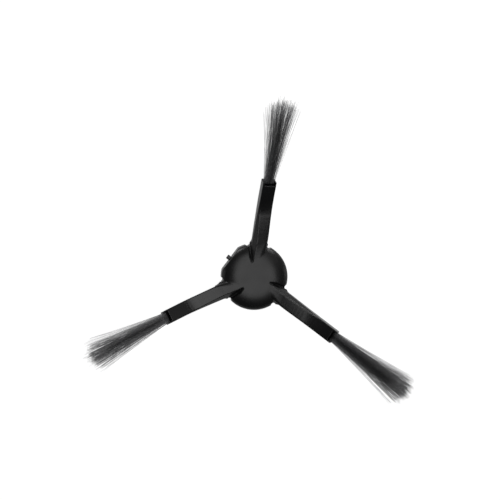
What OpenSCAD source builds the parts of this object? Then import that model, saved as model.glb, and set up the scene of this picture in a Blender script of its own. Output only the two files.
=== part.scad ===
// Robot vacuum side brush: a soft spider of hub and arms, a hard drive core, and a bristle tuft in each arm.
// Millimetres, +Z up. The side that faces the floor in use is up, and the rim lies on the plane Z = 0.
// The origin is on the hub's axis. One arm points along +Y.

/* [Hub] */
// Outside diameter of the rim
rim_d = 31; // [29:0.5:36]
// Height of the rim's upright outer wall
rim_h = 3.3; // [2.8:0.1:3.8]
// Thickness of the rim's upright wall
rim_wall = 1.6; // [1.2:0.1:2]
// Height of the domed crown above the rim's upright wall
crown_rise = 3.9; // [3.2:0.1:5]
// Radius of the crown's level top
crown_top_r = 7; // [6:0.25:8]
// Thickness of the hub's skin
skin = 1.4; // [1.1:0.1:1.6]
// Distance from the axis to the flat in the rim
flat_offset = 14.2; // [14:0.1:14.8]
// Radius of the small notches in the rim beside each arm
notch_r = 1; // [0.6:0.1:1.2]
// Angle from an arm's centre line to its notches
notch_angle = 19; // [18:0.5:22]
// Thickness of the ribs under the hub
rib_t = 1.2; // [0.8:0.1:1.6]

/* [Arms] */
// Distance from the axis to the arm's open end
arm_reach = 46; // [42:0.5:52]
// Width of an arm at its sleeve
arm_w = 6.5; // [6.2:0.1:7.5]
// Width of an arm at the rim
arm_root_w = 6.9; // [6.6:0.1:8]
// Thickness of an arm
arm_t = 4.2; // [3.9:0.1:4.8]
// Sideways lean of an arm's face
arm_lean = 10; // [4:1:14]
// Part of that lean that the blade has just outside the rim
rim_twist = 1.25; // [0.9:0.05:1.4]
// Part of that lean that the blade has near the sleeve
tip_twist = 0.85; // [0.6:0.05:1.1]
// Depth of an arm's face below the crown where the arm starts
arm_sink = 0.1; // [0.05:0.05:0.4]
// Rise of the curved blade where it meets the sleeve, in degrees
blade_pitch = 6; // [4:1:12]
// Rise of the straight sleeve, in degrees
sleeve_pitch = 20.5; // [15:0.5:25]
// Length of the straight sleeve
sleeve_len = 12.2; // [11:0.2:14]
// Width of the long bevel on the blade's trailing edge
bevel_w = 1.4; // [1:0.1:2]
// Depth of that bevel
bevel_depth = 2.4; // [1.5:0.1:2.8]
// Width of the rounding on the leading edge at the root
round_w = 2.6; // [1.5:0.1:2.9]
// Depth of that rounding
round_depth = 1.7; // [1:0.1:2.2]
// Distance from the axis to the point where the pocket beside an arm starts
pocket_start = 6.6; // [6:0.1:8]
// Depth of that pocket below the crown at its deep end
pocket_drop = 1.9; // [1.2:0.1:2.2]
// Width of the slope that runs from the pocket's floor up to the dome
pocket_slope = 1.6; // [0.8:0.1:2]
// Small chamfer on every other edge of an arm
edge = 0.2; // [0.1:0.05:0.3]
// Radius of the fillet between an arm and the rim
flare_r = 5.5; // [3:0.25:6]
// Thickness of that fillet's web
flare_t = 1.6; // [1.2:0.1:2]
// Height of the web's top above the rim's outer wall
flare_rise = 0.9; // [0.5:0.05:1]
// How far inside the rim that fillet runs out
flare_meet = 0.3; // [0.2:0.05:0.6]
// Length of the prongs where the sleeve's top wall is cut back
prong_len = 1.9; // [1:0.1:2.4]

/* [Drive core] */
// Diameter of the shaft's bore
bore_d = 6; // [4:0.1:6.4]
// Width of the two keyways in the bore
key_w = 1.6; // [1:0.1:2]
// Depth of the keyways beyond the bore's wall
key_depth = 0.8; // [0.5:0.1:1.1]
// Thickness of the core's closed end
core_end_t = 0.8; // [0.6:0.1:1.2]
// Size of the core's six-sided body across its flats
core_af = 11; // [9.5:0.1:11.4]
// Diameter of the core's flange
flange_d = 17; // [16.6:0.1:19]
// Thickness of the core's flange
flange_t = 1; // [0.8:0.1:1.4]
// Width of the lug that shows at the rim's flat
lug_w = 2; // [1.6:0.1:2.6]
// Height of the lug
lug_h = 1.8; // [1.4:0.1:2.2]
// Length of the lug that stands out of the flat
lug_out = 1.4; // [1:0.1:2]
// Clearance between the core and the spider
core_gap = 0.05; // [0.02:0.01:0.1]

/* [Tufts] */
// Width of a tuft's fused root
root_w = 4.9; // [4.4:0.1:5]
// Thickness of a tuft's fused root
root_t = 2.3; // [1.8:0.1:2.5]
// Length of a tuft's fused root
root_len = 6.8; // [5:0.1:7.5]
// Clearance between a root and its pocket
root_gap = 0.05; // [0.02:0.01:0.1]
// Length of the bristles beyond the sleeve
tuft_len = 42; // [35:0.5:48]
// Width of a tuft at its tip
tip_w = 13; // [9:0.5:16]
// Thickness of a tuft at its tip
tip_t = 8; // [4:0.5:9]
// Diameter of one drawn bristle, which stands for a few real ones
bristle_d = 0.4; // [0.3:0.02:0.42]
// Bristles across a tuft
bristle_columns = 10; // [6:1:10]
// Layers of bristles in a tuft
bristle_layers = 5; // [3:1:5]

/* [Hidden] */
$fn = 96;
arm_angles = [90, 210, 330];
lug_angle = (arm_angles[0] + arm_angles[1]) / 2;
rib_angles = [38, -38];
soft_black = "#1d1d1f";
hard_black = "#101012";
bristle_grey = "#2c2c2e";
cut = 1;

// Hub heights and radii
rim_r = rim_d / 2;
crown_h = rim_h + crown_rise;
hollow_r = rim_r - rim_wall;
foot_chamfer = 0.3;
collar_wall = 1.3;
collar_r = core_af / 2 / cos(30) + collar_wall;
arc_steps = 16;

// Arm path: the middle of the section, in the plane of the arm's axis
root_x = crown_top_r - 1;
path_z = crown_h - arm_sink - arm_t / 2;
knee_x = arm_reach - sleeve_len * cos(sleeve_pitch);
blade_r = (knee_x - root_x) / sin(blade_pitch);
knee_z = path_z + blade_r * (1 - cos(blade_pitch));
end_z = knee_z + sleeve_len * sin(sleeve_pitch);
blade_steps = 16;
bevel_from = 0.53 * knee_x;
bevel_to = knee_x + sleeve_len / 4;
round_from = crown_top_r + 0.5 * (rim_r - crown_top_r);
round_to = rim_r + 0.6 * arm_w;
round_steps = 3;

// Pocket beside an arm: where it ends, its floor there, and how far it reaches across
pocket_mid = pocket_start + 3;
pocket_end = rim_r + cut;
pocket_floor = rim_h + flare_rise - edge / 2;
pocket_outer = [arm_root_w / 2 - edge, arm_root_w / 2 + 0.4 * flare_r];

// Drive core
core_top = crown_h - skin + 0.1;
bore_depth = core_top - core_end_t;
lug_reach = flat_offset + lug_out;

// Tuft pocket in the sleeve, measured back from the open end
pocket_w = root_w + 2 * root_gap;
pocket_t = root_t + 2 * root_gap;
root_recess = 1.3 * prong_len;
pocket_depth = root_recess + root_len;
bristle_sides = 5;
tuft_fan = [0.98, 0.9, 0.85];
tuft_turn = [-0.9, 0.9, -0.5];
tuft_stretch = [0.96, 0.96, 1.01];
splay_power = 1.2;
edge_drop = 0.1;
length_scatter = 0.05;
place_scatter = 0.02 * tip_w;

function clamp01(t) = max(0, min(1, t));
function ellipse_arc(c, a, b, from, to, n) =
    [for (i = [0:n]) let (t = from + (to - from) * i / n) [c[0] + a * sin(t), c[1] + b * cos(t)]];

// Shared loft through rings of points, each ring in one plane and counter-clockwise seen from its far end
module loft(rings) {
    n = len(rings[0]);
    last = len(rings) - 1;
    polyhedron(
        points = [for (ring = rings) each ring],
        faces = concat(
            [[for (k = [0:n - 1]) k]],
            [[for (k = [n - 1:-1:0]) last * n + k]],
            [for (i = [0:last - 1], k = [0:n - 1]) let (m = (k + 1) % n)
                [i * n + k, (i + 1) * n + k, (i + 1) * n + m]],
            [for (i = [0:last - 1], k = [0:n - 1]) let (m = (k + 1) % n)
                [i * n + k, (i + 1) * n + m, i * n + m]]
        )
    );
}

// Hub
module hub_solid() {
    rotate_extrude() polygon(concat(
        [[0, 0], [0, crown_h]],
        ellipse_arc([crown_top_r, rim_h], rim_r - crown_top_r, crown_rise, 0, 90, arc_steps),
        [[rim_r, foot_chamfer], [rim_r - foot_chamfer, 0]]
    ));
}

// Hollow underside: its roof follows the dome and is lower where an arm and its pocket lie above it
module hub_hollow() {
    bearer_w = arm_w / 2 + pocket_outer[1] + edge;
    bearer_z = pocket_floor - skin;
    difference() {
        rotate_extrude() polygon(concat(
            [[0, -cut], [0, crown_h - skin]],
            ellipse_arc([crown_top_r, rim_h - skin], hollow_r - crown_top_r, crown_rise, 0, 90, arc_steps),
            [[hollow_r, -cut]]
        ));
        for (a = arm_angles) rotate([0, 0, a])
            translate([0, -arm_w / 2, bearer_z]) cube([rim_r, bearer_w, crown_h]);
    }
}

module collar() {
    translate([0, 0, flange_t]) cylinder(r = collar_r, h = crown_h - skin / 2 - flange_t);
}

module ribs() {
    intersection() {
        hub_solid();
        for (a = arm_angles, side = rib_angles)
            rotate([0, 0, a + side])
                translate([collar_r - cut, -rib_t / 2, flange_t])
                    cube([rim_r - rim_wall / 2 - collar_r + cut, rib_t, crown_h]);
    }
}

module rim_flat() {
    rotate([0, 0, lug_angle])
        translate([flat_offset, -rim_r / 2, -cut])
            cube([rim_r, rim_r, crown_h + 2 * cut]);
}

module rim_notches() {
    for (a = arm_angles, side = [-1, 1])
        rotate([0, 0, a + side * notch_angle])
            translate([rim_r + notch_r / 4, 0, -cut])
                cylinder(r = notch_r, h = crown_h + 2 * cut);
}

// Arms: each is lofted along +X and then turned to its place
function blade_point(t) = [root_x + blade_r * sin(t), path_z + blade_r * (1 - cos(t)), t];
function sleeve_point(s) = [knee_x + s * cos(sleeve_pitch), knee_z + s * sin(sleeve_pitch), sleeve_pitch];
function arm_path() = concat(
    [[root_x / 3, path_z, 0]],
    [for (i = [0:blade_steps - 1]) blade_point(blade_pitch * i / blade_steps)],
    [[knee_x, knee_z, (blade_pitch + sleeve_pitch) / 2]],
    [for (s = [bevel_to - knee_x, sleeve_len]) sleeve_point(s)]
);
function width_share(x) = clamp01((knee_x - x) / (knee_x - rim_r));
function trailing_share(x) = clamp01((bevel_to - x) / (bevel_to - bevel_from));
function leading_share(x) = clamp01((round_to - x) / (round_to - round_from));
function lean_at(x) = arm_lean * lookup(x, [
    [crown_top_r, 0], [rim_r + 1, rim_twist], [0.85 * knee_x, tip_twist], [knee_x, 1]
]);

// Outline of the arm at one place: across towards the trailing side, then up
function arm_outline(x) =
    let (
        w = (arm_w + (arm_root_w - arm_w) * width_share(x)) / 2,
        t = arm_t / 2,
        tw = edge + (bevel_w - edge) * trailing_share(x),
        td = edge + (bevel_depth - edge) * trailing_share(x),
        lw = edge + (round_w - edge) * leading_share(x),
        ld = edge + (round_depth - edge) * leading_share(x)
    )
    concat(
        [[w - tw, t]],
        [for (p = ellipse_arc([lw - w, t - ld], -lw, ld, 0, 90, round_steps)) p],
        [[-w, edge - t], [edge - w, -t], [w - edge, -t], [w, edge - t], [w, t - td]]
    );
function leaned(p, a) = [p[0] * cos(a) - p[1] * sin(a), p[0] * sin(a) + p[1] * cos(a)];
function on_path(station, q) =
    [station[0] - q[1] * sin(station[2]), q[0], station[1] + q[1] * cos(station[2])];

module arm_blade() {
    loft([for (s = arm_path()) [for (p = arm_outline(s[0])) on_path(s, leaned(p, lean_at(s[0])))]]);
}

// Wedge cut into the dome on the arm's trailing side: a point at first, it widens towards the web at the rim
function pocket_ring(x, inner, outer, floor_z) =
    [
        [x, inner, crown_h + cut], [x, inner, floor_z],
        [x, outer, floor_z], [x, outer + pocket_slope, crown_h + cut]
    ];
module arm_pocket() {
    ridge = arm_root_w / 2 - bevel_w;
    loft([
        pocket_ring(pocket_start - edge, ridge, ridge + edge, crown_h + edge / 2),
        pocket_ring(pocket_mid, ridge - cut, pocket_outer[0], crown_h - pocket_drop),
        pocket_ring(pocket_end, ridge - cut, pocket_outer[1], pocket_floor)
    ]);
}

// Web that blends the arm's two sides into the rim
module arm_flare() {
    half = arm_root_w / 2;
    meet_r = rim_r - flare_meet;
    fx = sqrt(pow(meet_r + flare_r, 2) - pow(half + flare_r, 2));
    share = meet_r / (meet_r + flare_r);
    touch = [fx * share, (half + flare_r) * share];
    inside = rim_r - rim_wall / 2;
    translate([0, 0, rim_h + flare_rise - flare_t]) linear_extrude(height = flare_t) difference() {
        polygon([
            [inside, -touch[1]], [touch[0], -touch[1]], [fx, -half],
            [fx, half], [touch[0], touch[1]], [inside, touch[1]]
        ]);
        for (side = [-1, 1]) translate([fx, side * (half + flare_r)]) circle(r = flare_r);
    }
}

module at_sleeve_end() {
    translate([arm_reach, 0, end_z]) rotate([arm_lean, -sleeve_pitch, 0]) children();
}

module sleeve_cuts() {
    at_sleeve_end() {
        translate([-pocket_depth, -pocket_w / 2, -pocket_t / 2])
            cube([pocket_depth + cut, pocket_w, pocket_t]);
        translate([-prong_len, -pocket_w / 2, 0]) cube([prong_len + cut, pocket_w, arm_t]);
    }
}

module core_pocket() {
    rotate([0, 0, lug_angle]) {
        translate([0, 0, -cut])
            cylinder(d = (core_af + 2 * core_gap) / cos(30), h = core_top + cut, $fn = 6);
        translate([0, 0, -cut]) cylinder(d = flange_d + 2 * core_gap, h = flange_t + cut);
        translate([0, -lug_w / 2 - core_gap, -cut])
            cube([lug_reach + cut, lug_w + 2 * core_gap, lug_h + core_gap + cut]);
    }
}

module spider() {
    color(soft_black) difference() {
        union() {
            difference() {
                hub_solid();
                hub_hollow();
                for (a = arm_angles) rotate([0, 0, a]) arm_pocket();
            }
            collar();
            ribs();
            for (a = arm_angles) rotate([0, 0, a]) {
                arm_blade();
                arm_flare();
            }
        }
        core_pocket();
        rim_flat();
        rim_notches();
        for (a = arm_angles) rotate([0, 0, a]) sleeve_cuts();
    }
}

// Hard insert: six-sided body with a keyed blind bore, flange, and the lug that locks it in the rim
module drive_core() {
    color(hard_black) rotate([0, 0, lug_angle]) difference() {
        union() {
            cylinder(d = core_af / cos(30), h = core_top, $fn = 6);
            cylinder(d = flange_d, h = flange_t);
            translate([0, -lug_w / 2, 0]) cube([lug_reach, lug_w, lug_h]);
        }
        translate([0, 0, -cut]) cylinder(d = bore_d, h = bore_depth + cut);
        translate([-bore_d / 2 - key_depth, -key_w / 2, -cut])
            cube([bore_d + 2 * key_depth, key_w, bore_depth + cut]);
    }
}

// Bristles: each fans out from the root, and its length varies a little
function bristle_ring(l, at, r) =
    [for (k = [0:bristle_sides - 1]) let (t = 360 * k / bristle_sides)
        [l, at[0] - r * sin(t), at[1] + r * cos(t)]];

module bristle(u, v, i, scatter) {
    start = -root_recess - bristle_d;
    length = tuft_len * tuft_stretch[i] * (1 - edge_drop * u * u + length_scatter * scatter[0]);
    half_w = root_w / 2 - bristle_d;
    half_t = root_t / 2 - bristle_d;
    loft([for (share = [0, 0.25, 0.6, 1]) let (
        l = start + (length - start) * share,
        q = pow(share, splay_power),
        fan_w = half_w + (tip_w * tuft_fan[i] / 2 - half_w) * q,
        across = u * fan_w + tan(tuft_turn[i]) * (l - start) + place_scatter * scatter[1] * q,
        up = v * (half_t + (tip_t / 2 - half_t) * q) + place_scatter * scatter[2] * q
    ) bristle_ring(l, [across, up], bristle_d / 2)]);
}

module tuft(i) {
    scatter = rands(-1, 1, 3 * bristle_columns * bristle_layers, i + 1);
    color(bristle_grey) rotate([0, 0, arm_angles[i]]) at_sleeve_end() {
        translate([-pocket_depth, -root_w / 2, -root_t / 2]) cube([root_len, root_w, root_t]);
        for (c = [0:bristle_columns - 1], r = [0:bristle_layers - 1]) {
            n = 3 * (c * bristle_layers + r);
            stagger = r % 2 == 0 ? 0.25 : -0.25;
            bristle(
                (2 * (c + 0.5 + stagger)) / bristle_columns - 1,
                (2 * (r + 0.5)) / bristle_layers - 1,
                i,
                [scatter[n], scatter[n + 1], scatter[n + 2]]
            );
        }
    }
}

spider();
drive_core();
tuft(0);  // tuft_1
tuft(1);  // tuft_2
tuft(2);  // tuft_3
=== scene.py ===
"""Side brush of a robot vacuum: soft spider, hard drive core and three bristle tufts.

Metres, in the part's frame: +Z towards the side that faces the floor in use, and one arm along +Y.
"""
import math
import random

import bpy
from mathutils import Matrix, Vector


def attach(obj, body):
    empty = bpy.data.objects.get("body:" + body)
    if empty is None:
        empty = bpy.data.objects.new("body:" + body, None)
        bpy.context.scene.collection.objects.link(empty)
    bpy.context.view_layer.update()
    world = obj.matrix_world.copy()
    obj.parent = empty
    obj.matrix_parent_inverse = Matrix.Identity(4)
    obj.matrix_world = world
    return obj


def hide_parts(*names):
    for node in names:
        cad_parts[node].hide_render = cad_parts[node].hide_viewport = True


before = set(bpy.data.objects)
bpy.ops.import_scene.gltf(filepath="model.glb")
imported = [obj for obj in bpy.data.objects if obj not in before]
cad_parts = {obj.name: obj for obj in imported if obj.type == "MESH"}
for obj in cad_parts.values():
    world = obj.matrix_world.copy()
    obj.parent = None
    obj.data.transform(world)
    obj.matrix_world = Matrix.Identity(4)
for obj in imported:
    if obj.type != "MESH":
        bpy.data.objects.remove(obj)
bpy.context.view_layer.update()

MM = 0.001

# Arm path, as the part has it: a curved blade and then a straight sleeve
ARM_ANGLES = (90, 210, 330)
ARM_REACH = 46 * MM
ARM_LEAN = 10
BLADE_START = 6 * MM
BLADE_START_HEIGHT = 5 * MM
BLADE_PITCH = 6
SLEEVE_PITCH = 20.5
SLEEVE_LEN = 12.2 * MM

# Moulding: grid of its finished mesh, rounds of smoothing for edges and pockets, and its most triangles
GRID = 0.2 * MM
EDGE_ROUNDS = 5
POCKET_ROUNDS = 12
MOULDING_TRIANGLES = 150000
# Half the length over which the knee of an arm is rounded
KNEE_SOFTENING = 4.5 * MM
# Zone of the crown around the pockets: its two distances from the axis and the height at which it starts
POCKET_IN = 5 * MM
POCKET_OUT = 15 * MM
POCKET_FLOOR = 3.6 * MM
# Distances from the origin between which the smoother finish of the arms sets in
ARM_FINISH = (14 * MM, 21 * MM)

# Width of the broken edges of insert and root, and the angle up to which faces are shaded as one
INSERT_EDGE = 0.15 * MM
ROOT_EDGE = 0.2 * MM
SHADED_ANGLE = math.radians(35)

# Tuft: the fused root in the sleeve and the fan of filaments that leaves it
ROOT_W = 4.9 * MM
ROOT_T = 2.3 * MM
ROOT_LEN = 6.8 * MM
ROOT_RECESS = 2.47 * MM
TUFT_LEN = 42 * MM
TIP_W = 15.5 * MM
TIP_T = 8.4 * MM
SPLAY_POWER = 1.25
# For each tuft: share of the tip's width, sideways turn in degrees, share of the length, and filaments
TUFT_FAN = (0.9, 0.84, 0.9)
TUFT_TURN = (-0.5, 1.3, -0.5)
TUFT_STRETCH = (0.96, 1.0, 1.03)
FILAMENTS = (340, 370, 500)
# Grey of the strands in the middle of each tuft and at its sides, from black (0) to grey (1): painted shade
# in the middle and painted light at the sides, set apart for each tuft by how it faces the light
TUFT_SHADE_TONES = ((0.22, 1.1), (0.2, 1.15), (0.03, 0.85))
# How that painted shade changes from the middle to the sides, and how far single strands are off it at
# random
SHADE_POWER = 1.15
TONE_SCATTER = 0.1
FILAMENT_D = 0.13 * MM
FILAMENT_POINTS = 8
# Radius of a filament's tip as a share of its full radius
TIP_TAPER = 0.8
# Place of the outermost filament in half widths of the bundle, and how much the others gather in the middle
BUNDLE_REACH = 1.1
BUNDLE_GATHER = 0.15
# Strays: how many a tuft has, and how far out and how deep they lie in the bundle
STRAYS = 8
STRAY_ACROSS = (0.95, 1.35)
STRAY_DEPTH = 0.4
# Share of the full length that a middle filament has, what the outer ones lack, and how uneven the cut is
TRIM = 0.985
CROWNING = 0.05
RAGGED = 0.03
# How far a tip strays from its place in the fan, and how far a filament bows
SCATTER = 1.2 * MM
BOW = 0.3 * MM
# Shares of a filament's length: end of the solid painted shadow where it leaves the sleeve, end of that
# shadow's fade, end of the opaque stretch, and start of the paler tip
SOLID_SHADOW_END = 0.028
SHADOW_FADE_END = 0.045
OPAQUE_END = 0.05
WEAR_AND_LIGHT_START = 0.78

# Floor: size, clearance under the part, grey, glow, and the glow's share in sight and in reflections
FLOOR_SIZE = 40
FLOOR_GAP = 0.02 * MM
FLOOR_GREY = 0.86
FLOOR_GLOW = 1.1
GLOW_SHARE = 0.86
GLOW_IN_MIRRORS = 0.5

# Lamps: distance of all but the overhead one, size of the low ones, and strength of the light from all round
LAMP_DISTANCE = 2.6
STRIP_SIZE = (0.85, 0.85)
SURROUNDINGS = 0.04

# Camera, from the photograph
CAMERA_DISTANCE = 2.5
CAMERA_TILT = 10
CAMERA_AZIMUTH = 141.4
IMAGE_UP_AZIMUTH = 97.4
AIM = Vector((0, 0, 2 * MM))
PIXELS_PER_METRE = 2155
IMAGE_SIZE = 500
AIM_PIXEL = (254.1, 276.5)
SENSOR = 36


def deselect():
    """Nothing stays selected, so that an operator acts on the next piece alone."""
    bpy.ops.object.select_all(action="DESELECT")


def make_active(piece):
    """The piece alone is selected, so that an operator acts on it."""
    deselect()
    piece.select_set(True)
    bpy.context.view_layer.objects.active = piece


def in_edit_mode(piece, *steps):
    """Runs each step on the whole of the piece's mesh in edit mode."""
    make_active(piece)
    bpy.ops.object.mode_set(mode="EDIT")
    bpy.ops.mesh.select_all(action="SELECT")
    for step in steps:
        step()
    bpy.ops.object.mode_set(mode="OBJECT")


def finish_with(piece, kind, **settings):
    """Adds one modifier and applies it."""
    make_active(piece)
    modifier = piece.modifiers.new(kind.title(), kind)
    for name, value in settings.items():
        setattr(modifier, name, value)
    bpy.ops.object.modifier_apply(modifier=modifier.name)


def copy_of_node(name, node):
    """A merged copy of a CAD node's mesh, to be finished and shown in that node's place."""
    piece = bpy.data.objects.new(name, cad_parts[node].data.copy())
    bpy.context.scene.collection.objects.link(piece)
    piece.data.materials.clear()
    in_edit_mode(
        piece,
        lambda: bpy.ops.mesh.customdata_custom_splitnormals_clear(),
        lambda: bpy.ops.mesh.remove_doubles(threshold=0.002 * MM),
    )
    return piece


def direction(azimuth, tilt):
    """Unit vector that leans so many degrees from +Z towards an azimuth."""
    a, t = math.radians(azimuth), math.radians(tilt)
    return Vector((math.sin(t) * math.cos(a), math.sin(t) * math.sin(a), math.cos(t)))


# Materials

def math_node(tree, operation, first, second):
    """Output of a Math node whose two inputs are sources or numbers."""
    node = tree.nodes.new("ShaderNodeMath")
    node.operation = operation
    for socket, value in ((node.inputs[0], first), (node.inputs[1], second)):
        if isinstance(value, bpy.types.NodeSocket):
            tree.links.new(value, socket)
        else:
            socket.default_value = value
    return node.outputs[0]


class Surface:
    """A Principled material and short ways to add nodes to it."""

    def __init__(self, name, **sockets):
        self.material = bpy.data.materials.new(name)
        self.material.use_nodes = True
        self.tree = self.material.node_tree
        self.shader = self.tree.nodes["Principled BSDF"]
        for socket, value in sockets.items():
            self.shader.inputs[socket.replace("_", " ")].default_value = value
        self.place = self.add("ShaderNodeTexCoord").outputs["Object"]

    def add(self, kind, links=(), **settings):
        """New node with its own settings or socket values, and with sources linked to its inputs."""
        node = self.tree.nodes.new(kind)
        for name, value in settings.items():
            if hasattr(node, name):
                setattr(node, name, value)
            else:
                node.inputs[name.replace("_", " ")].default_value = value
        for socket, source in dict(links).items():
            self.tree.links.new(source, node.inputs[socket])
        return node

    def noise(self, scale, detail):
        """Noise with so many cells to a metre."""
        node = self.add("ShaderNodeTexNoise", {"Vector": self.place}, Scale=scale, Detail=detail)
        return node.outputs["Fac"]

    def spread(self, source, low, high, low_in=0.0, high_in=1.0):
        """Source carried from one range of values to another."""
        node = self.add(
            "ShaderNodeMapRange", {"Value": source},
            From_Min=low_in, From_Max=high_in, To_Min=low, To_Max=high,
        )
        return node.outputs["Result"]

    def blend(self, share, first, second):
        """Colour between two colours, or two sources of colour."""
        node = self.add("ShaderNodeMix", data_type="RGBA")
        for socket, value in ((node.inputs[6], first), (node.inputs[7], second)):
            if isinstance(value, bpy.types.NodeSocket):
                self.tree.links.new(value, socket)
            else:
                socket.default_value = (*value, 1)
        self.tree.links.new(share, node.inputs[0])
        return node.outputs[2]

    def bump(self, height, depth, strength, under=None):
        """Relief of so many metres, on top of another relief where one is given."""
        node = self.add("ShaderNodeBump", {"Height": height}, Distance=depth, Strength=strength)
        if under is not None:
            self.tree.links.new(under, node.inputs["Normal"])
        return node.outputs["Normal"]

    def set(self, **sources):
        """Links the sources to the shader and gives the finished material."""
        for socket, source in sources.items():
            self.tree.links.new(source, self.shader.inputs[socket.replace("_", " ")])
        return self.material


def grey(value):
    """Neutral colour with the trace of blue that black plastic has."""
    return (value, value, value * 1.03)


def soft_moulding():
    """Soft black plastic with the fine grain of a mould, smoother on the arms and paler on its edges."""
    surface = Surface("soft_moulding", Specular_IOR_Level=0.2)
    reach = surface.add("ShaderNodeVectorMath", {"Vector": surface.place}, operation="LENGTH")
    on_arm = surface.spread(reach.outputs["Value"], 0, 0.1, *ARM_FINISH)
    drift = surface.noise(90, 3)
    edge = surface.add("ShaderNodeNewGeometry").outputs["Pointiness"]
    rubbed = surface.spread(edge, 0, 1, 0.53, 0.62)
    base = surface.blend(drift, grey(0.004), grey(0.007))
    ripple = surface.bump(surface.noise(260, 2), 0.02 * MM, 0.5)
    return surface.set(
        Base_Color=surface.blend(rubbed, base, grey(0.01)),
        Roughness=math_node(surface.tree, "SUBTRACT", surface.spread(drift, 0.3, 0.38, 0.3, 0.7), on_arm),
        Normal=surface.bump(surface.noise(5200, 2), 0.012 * MM, 0.5, ripple),
    )


def hard_insert():
    """Harder, smoother black plastic with faint flow marks."""
    surface = Surface("hard_insert", Specular_IOR_Level=0.3)
    flow = surface.noise(400, 3)
    return surface.set(
        Base_Color=surface.blend(flow, grey(0.008), grey(0.014)),
        Roughness=surface.spread(flow, 0.28, 0.42, 0.3, 0.7),
        Normal=surface.bump(surface.noise(3000, 2), 0.006 * MM, 0.4),
    )


def filament_plastic():
    """Drawn filament, thin enough to let some light through, each strand in its own grey, which also carries
    painted shade and painted light.

    It is painted black for the shadow under the end of the sleeve, and paler towards the tip, partly as wear
    and partly as painted light.
    """
    surface = Surface("filament_plastic", Specular_IOR_Level=0.4)
    along = surface.add("ShaderNodeAttribute", attribute_name="along").outputs["Fac"]
    strand = surface.add("ShaderNodeAttribute", attribute_name="strand").outputs["Fac"]
    # Painted shade and painted light: a strand's grey is darker in the middle of a tuft and lighter at its
    # sides
    body = surface.blend(strand, grey(0.01), grey(0.2))
    # Paler towards the tip: partly wear, partly painted light for the light that comes through the sparse
    # tips
    worn_and_lit = surface.blend(surface.spread(along, 0, 0.7, WEAR_AND_LIGHT_START, 1), body, grey(0.22))
    return surface.set(
        # Painted shadow: the filaments are black where they leave from under the sleeve's top wall, fading
        # out just past its end
        Base_Color=surface.blend(surface.spread(along, 0, 1, SOLID_SHADOW_END, SHADOW_FADE_END), grey(0.002), worn_and_lit),
        Roughness=surface.spread(strand, 0.3, 0.5),
        Alpha=surface.spread(along, 1, 0.4, SOLID_SHADOW_END, OPAQUE_END),
    )


def floor_white():
    """Pale floor that shows white to the camera and in reflections, and keeps a faint shadow."""
    material = bpy.data.materials.new("floor_white")
    material.use_nodes = True
    tree = material.node_tree
    tree.nodes.clear()
    rays = tree.nodes.new("ShaderNodeLightPath").outputs
    mirrored = math_node(tree, "MAXIMUM", rays["Is Glossy Ray"], rays["Is Transmission Ray"])
    weaker = math_node(tree, "MULTIPLY", mirrored, GLOW_IN_MIRRORS)
    seen = math_node(tree, "MAXIMUM", rays["Is Camera Ray"], weaker)
    matt = tree.nodes.new("ShaderNodeBsdfDiffuse")
    matt.inputs["Color"].default_value = (FLOOR_GREY, FLOOR_GREY, FLOOR_GREY, 1)
    glow = tree.nodes.new("ShaderNodeEmission")
    glow.inputs["Strength"].default_value = FLOOR_GLOW
    mix = tree.nodes.new("ShaderNodeMixShader")
    tree.links.new(math_node(tree, "MULTIPLY", seen, GLOW_SHARE), mix.inputs[0])
    tree.links.new(matt.outputs[0], mix.inputs[1])
    tree.links.new(glow.outputs[0], mix.inputs[2])
    out = tree.nodes.new("ShaderNodeOutputMaterial")
    tree.links.new(mix.outputs[0], out.inputs["Surface"])
    return material


# Pieces

def knee():
    """Distance from the axis and height at which the curved blade of an arm meets its straight sleeve."""
    x = ARM_REACH - SLEEVE_LEN * math.cos(math.radians(SLEEVE_PITCH))
    blade_r = (x - BLADE_START) / math.sin(math.radians(BLADE_PITCH))
    return x, BLADE_START_HEIGHT + blade_r * (1 - math.cos(math.radians(BLADE_PITCH)))


def round_knees(piece):
    """Lifts the arms a little at their knees, so that the blade runs into the sleeve along a curve."""
    knee_x, knee_z = knee()
    change = math.tan(math.radians(SLEEVE_PITCH)) - math.tan(math.radians(BLADE_PITCH))
    slant = math.tan(math.radians((SLEEVE_PITCH + BLADE_PITCH) / 2))
    for angle in ARM_ANGLES:
        outwards = direction(angle, 90)
        for vertex in piece.data.vertices:
            from_knee = vertex.co.dot(outwards) - knee_x + (vertex.co.z - knee_z) * slant
            off = KNEE_SOFTENING - abs(from_knee)
            if off > 0:
                vertex.co.z += change * off * off / (4 * KNEE_SOFTENING)


def in_pocket_zone(place):
    """Whether a place on the moulding is on the crown around the pockets."""
    return place.z > POCKET_FLOOR and POCKET_IN < place.xy.length < POCKET_OUT


def build_spider():
    """The moulding: the CAD form with its edges and inner corners softened as a mould leaves them."""
    piece = copy_of_node("spider_moulding", "spider")
    finish_with(piece, "REMESH", mode="VOXEL", voxel_size=GRID, use_smooth_shade=True)
    finish_with(piece, "SMOOTH", factor=0.5, iterations=EDGE_ROUNDS)
    pockets = piece.vertex_groups.new(name="pockets")
    pockets.add([v.index for v in piece.data.vertices if in_pocket_zone(v.co)], 1.0, "REPLACE")
    finish_with(piece, "SMOOTH", factor=0.5, iterations=POCKET_ROUNDS, vertex_group="pockets")
    round_knees(piece)
    triangles = sum(len(face.vertices) - 2 for face in piece.data.polygons)
    finish_with(piece, "DECIMATE", ratio=min(1.0, MOULDING_TRIANGLES / triangles))
    return piece


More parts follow.
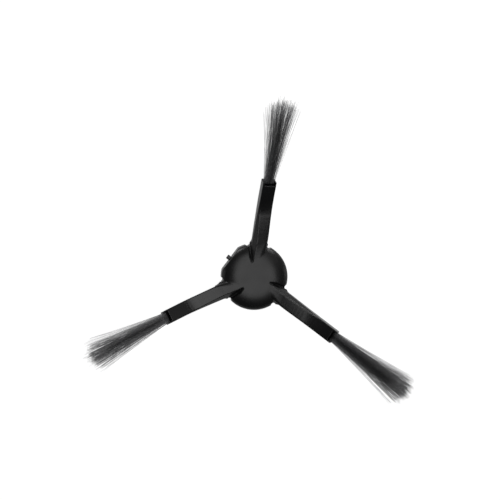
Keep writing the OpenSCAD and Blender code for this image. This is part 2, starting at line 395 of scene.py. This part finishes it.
def build_core():
    """The hard insert with its edges broken."""
    piece = copy_of_node("drive_insert", "drive_core")
    in_edit_mode(piece, lambda: bpy.ops.mesh.dissolve_limited(angle_limit=math.radians(1)))
    finish_with(
        piece, "BEVEL", width=INSERT_EDGE, segments=2, limit_method="ANGLE", angle_limit=math.radians(40)
    )
    make_active(piece)
    bpy.ops.object.shade_smooth_by_angle(angle=SHADED_ANGLE)
    return piece


def sleeve_end(arm):
    """Matrix that carries the open end of an arm's sleeve, with X outwards and Z up, to its place."""
    end_z = knee()[1] + SLEEVE_LEN * math.sin(math.radians(SLEEVE_PITCH))
    return (
        Matrix.Rotation(math.radians(ARM_ANGLES[arm]), 4, "Z")
        @ Matrix.Translation((ARM_REACH, 0, end_z))
        @ Matrix.Rotation(math.radians(-SLEEVE_PITCH), 4, "Y")
        @ Matrix.Rotation(math.radians(ARM_LEAN), 4, "X")
    )


def bundle_places(count, rng):
    """Places of the filaments across and through the bundle, in half widths: most near the middle."""
    places = []
    for number in range(count):
        step = 2 * (number + rng.uniform(0.1, 0.9)) / count - 1
        u = 2 * math.sin(math.asin(step) / 3)
        v = math.sqrt(1 - u * u) * rng.uniform(-1, 1)
        places.append((BUNDLE_REACH * u * abs(u) ** BUNDLE_GATHER, v))
    for _ in range(STRAYS):
        u = rng.choice((-1, 1)) * rng.uniform(*STRAY_ACROSS)
        places.append((u, rng.uniform(-STRAY_DEPTH, STRAY_DEPTH)))
    return places


def filament_line(arm, rng, u, v):
    """Points of one filament from its root to its tip, with X outwards, Y across and Z through the tuft."""
    start = -ROOT_RECESS - FILAMENT_D
    reach = TUFT_LEN * TUFT_STRETCH[arm]
    length = reach * (TRIM - CROWNING * (u * u + v * v) + rng.gauss(0, RAGGED))
    tip_u = (u * TIP_W * TUFT_FAN[arm] + rng.gauss(0, SCATTER)) / 2
    tip_v = (v * TIP_T + rng.gauss(0, SCATTER)) / 2
    root_u = max(-1, min(1, u)) * (ROOT_W / 2 - FILAMENT_D)
    root_v = max(-1, min(1, v)) * (ROOT_T / 2 - FILAMENT_D)
    bow = rng.gauss(0, BOW)
    turn = math.tan(math.radians(TUFT_TURN[arm]))
    points = []
    for i in range(FILAMENT_POINTS):
        share = i / (FILAMENT_POINTS - 1)
        splay = share ** SPLAY_POWER
        along = start + (length - start) * share
        across = root_u + (tip_u - root_u) * splay + turn * (along - start) + bow * math.sin(math.pi * share)
        points.append((along, across, root_v + (tip_v - root_v) * splay))
    return points


def shade_and_strand_tones(arm, rng, places):
    """Tone of each filament of a tuft, from its middle to its sides: painted shade in the middle and painted
    light at the sides, with a random spread.
    """
    # Painted shade: each tuft has its own pair of greys, darker for the tuft that faces away from the light
    inner, outer = TUFT_SHADE_TONES[arm]
    return [
        inner + (outer - inner) * min(1, abs(u)) ** SHADE_POWER + rng.uniform(-TONE_SCATTER, TONE_SCATTER)
        for u, _ in places
    ]


def filament_curve(name, lines):
    """Curve object with a thin round filament along each line of points."""
    curve = bpy.data.curves.new(name, "CURVE")
    curve.dimensions = "3D"
    curve.bevel_depth = FILAMENT_D / 2
    curve.bevel_resolution = 0
    for line in lines:
        spline = curve.splines.new("POLY")
        spline.points.add(len(line) - 1)
        for point, place in zip(spline.points, line):
            point.co = (*place, 1)
        spline.points[-1].radius = TIP_TAPER
    bundle = bpy.data.objects.new(name, curve)
    bpy.context.scene.collection.objects.link(bundle)
    return bundle


def mark_strands(piece, ring, tones):
    """Gives each point its share of the way along its filament, and its filament's tone.

    The rings of a filament follow each other, so a point's number gives its filament and its place on it.
    """
    along = piece.data.attributes.new("along", "FLOAT", "POINT")
    strand = piece.data.attributes.new("strand", "FLOAT", "POINT")
    for number in range(len(piece.data.vertices)):
        line, step = divmod(number // ring, FILAMENT_POINTS)
        along.data[number].value = step / (FILAMENT_POINTS - 1)
        strand.data[number].value = tones[line]


def build_tuft(arm, material):
    """The fan of filaments that leaves the sleeve of one arm."""
    rng = random.Random(arm + 1)
    places = bundle_places(FILAMENTS[arm], rng)
    lines = [filament_line(arm, rng, u, v) for u, v in places]
    make_active(filament_curve(f"tuft_{arm + 1}_filaments", lines))
    bpy.ops.object.convert(target="MESH")
    piece = bpy.context.view_layer.objects.active
    ring = len(piece.data.vertices) // (len(lines) * FILAMENT_POINTS)
    mark_strands(piece, ring, shade_and_strand_tones(arm, rng, places))
    in_edit_mode(piece, lambda: bpy.ops.mesh.fill_holes(sides=ring))
    make_active(piece)
    bpy.ops.object.shade_smooth()
    piece.data.transform(sleeve_end(arm))
    piece.data.materials.clear()
    piece.data.materials.append(material)
    return piece


def build_root(arm, material):
    """Flat block that holds the filaments together, inside the sleeve."""
    depth = ROOT_RECESS + ROOT_LEN
    deselect()
    bpy.ops.mesh.primitive_cube_add(size=1, location=(0, 0, 0))
    block = bpy.context.view_layer.objects.active
    block.name = f"tuft_{arm + 1}_root"
    block.data.transform(Matrix.Diagonal((ROOT_LEN, ROOT_W, ROOT_T, 1)))
    block.data.transform(Matrix.Translation((ROOT_LEN / 2 - depth, 0, 0)))
    finish_with(block, "BEVEL", width=ROOT_EDGE, segments=3)
    make_active(block)
    bpy.ops.object.shade_smooth_by_angle(angle=SHADED_ANGLE)
    block.data.transform(sleeve_end(arm))
    block.data.materials.append(material)
    return block


# Stage

def build_floor():
    """Wide pale floor that the rim lies on."""
    deselect()
    bpy.ops.mesh.primitive_plane_add(size=FLOOR_SIZE, location=(0, 0, -FLOOR_GAP))
    floor = bpy.context.view_layer.objects.active
    floor.name = "floor"
    floor.data.materials.append(floor_white())


def softbox(name, azimuth, tilt, distance, size, radiance):
    """Soft light of a given width and height that faces the part."""
    light = bpy.data.lights.new(name, "AREA")
    light.shape = "RECTANGLE"
    light.size, light.size_y = size
    light.energy = radiance * math.pi * light.size * light.size_y
    box = bpy.data.objects.new(name, light)
    bpy.context.scene.collection.objects.link(box)
    away = direction(azimuth, tilt)
    box.location = AIM + away * distance
    box.rotation_mode = "QUATERNION"
    box.rotation_quaternion = away.to_track_quat("Z", "Y")
    box.visible_camera = False


def build_lights():
    """A large softbox overhead, a weak one at the right, and low strips that draw the edges and the rim."""
    softbox("overhead_softbox", 20, 4, 3.0, (2.6, 1.8), 4.25)
    softbox("right_softbox", 43, 46, LAMP_DISTANCE, (1.4, 1.4), 0.6)
    softbox("back_right_strip", 64, 76, LAMP_DISTANCE, STRIP_SIZE, 15)
    softbox("back_left_strip", 127, 80, LAMP_DISTANCE, STRIP_SIZE, 13)
    softbox("right_strip", 7, 80, LAMP_DISTANCE, STRIP_SIZE, 2)
    softbox("left_strip", 187, 78, LAMP_DISTANCE, STRIP_SIZE, 1.6)
    world = bpy.context.scene.world or bpy.data.worlds.new("studio")
    bpy.context.scene.world = world
    world.use_nodes = True
    background = world.node_tree.nodes["Background"]
    background.inputs["Color"].default_value = (1, 1, 1, 1)
    background.inputs["Strength"].default_value = SURROUNDINGS


def build_camera():
    """Looks down on the crown, a little from one side, and puts it where the photograph has it."""
    camera = bpy.data.cameras.new("camera")
    camera.sensor_width = SENSOR
    camera.lens = SENSOR * CAMERA_DISTANCE * PIXELS_PER_METRE / IMAGE_SIZE
    camera.shift_x = (IMAGE_SIZE / 2 - AIM_PIXEL[0]) / IMAGE_SIZE
    camera.shift_y = (AIM_PIXEL[1] - IMAGE_SIZE / 2) / IMAGE_SIZE
    holder = bpy.data.objects.new("camera", camera)
    bpy.context.scene.collection.objects.link(holder)
    back = direction(CAMERA_AZIMUTH, CAMERA_TILT)
    image_up = direction(IMAGE_UP_AZIMUTH, 90)
    up = (image_up - image_up.dot(back) * back).normalized()
    right = up.cross(back)
    holder.matrix_world = Matrix.Translation(AIM + back * CAMERA_DISTANCE) @ Matrix(
        ((right.x, up.x, back.x), (right.y, up.y, back.y), (right.z, up.z, back.z))
    ).to_4x4()
    bpy.context.scene.camera = holder


build_camera()
build_lights()
build_floor()
bpy.context.scene.view_settings.view_transform = "Standard"

moulding_material = soft_moulding()
insert_material = hard_insert()
bristle_material = filament_plastic()

spider = build_spider()
spider.data.materials.append(moulding_material)
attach(spider, "root")
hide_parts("spider")

core = build_core()
core.data.materials.append(insert_material)
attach(core, "root")
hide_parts("drive_core")

for number in range(len(ARM_ANGLES)):
    root = build_root(number, bristle_material)
    tuft = build_tuft(number, bristle_material)
    make_active(tuft)
    root.select_set(True)
    bpy.ops.object.join()
    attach(tuft, "root")
    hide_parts(f"tuft_{number + 1}")
